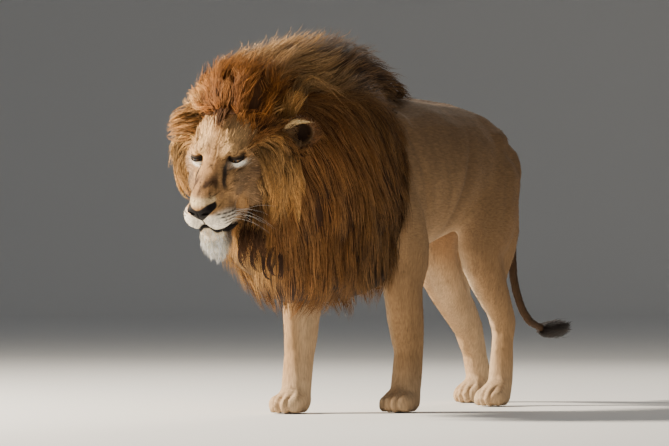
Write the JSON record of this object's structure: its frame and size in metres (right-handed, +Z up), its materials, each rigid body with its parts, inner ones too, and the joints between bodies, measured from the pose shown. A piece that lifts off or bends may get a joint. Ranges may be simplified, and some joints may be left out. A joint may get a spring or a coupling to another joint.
{
  "type": "lion",
  "caption": "Life-size standing male lion in mid stride with its head low and a full mane, as a still display model.",
  "frame": {"origin": "centre of the bottom of the bounding box, on the floor between the feet", "axes": "+Z up, -Y the way the lion faces, +X its left side; the body's length lies along Y"},
  "size_m": [0.6082, 2.3674, 1.2394],
  "materials": {
    "short_fur": "short tawny coat",
    "pale_fur": "short pale coat and beard",
    "mane_hair": "long reddish brown hair",
    "dark_hair": "dark brown hair",
    "nose_skin": "bare damp skin",
    "eye": "wet amber eye"
  },
  "bodies": {
    "root": {"eye_left": "eye", "eye_right": "eye", "ear_left": "short_fur", "ear_right": "short_fur", "nose": "nose_skin", "tail": "short_fur", "tail_tuft": "dark_hair", "head": "short_fur", "lower_jaw": "pale_fur", "neck": "short_fur", "trunk": "short_fur", "mane_ruff_left": "mane_hair", "mane_neck_left": "mane_hair", "mane_bib_left": "mane_hair", "upper_arm_left": "short_fur", "forearm_left": "short_fur", "forepaw_left": "short_fur", "thigh_left": "short_fur", "shank_left": "short_fur", "hindfoot_left": "short_fur", "mane_ruff_right": "mane_hair", "mane_neck_right": "mane_hair", "mane_bib_right": "mane_hair", "upper_arm_right": "short_fur", "forearm_right": "short_fur", "forepaw_right": "short_fur", "thigh_right": "short_fur", "shank_right": "short_fur", "hindfoot_right": "short_fur"}
  },
  "joints": []
}
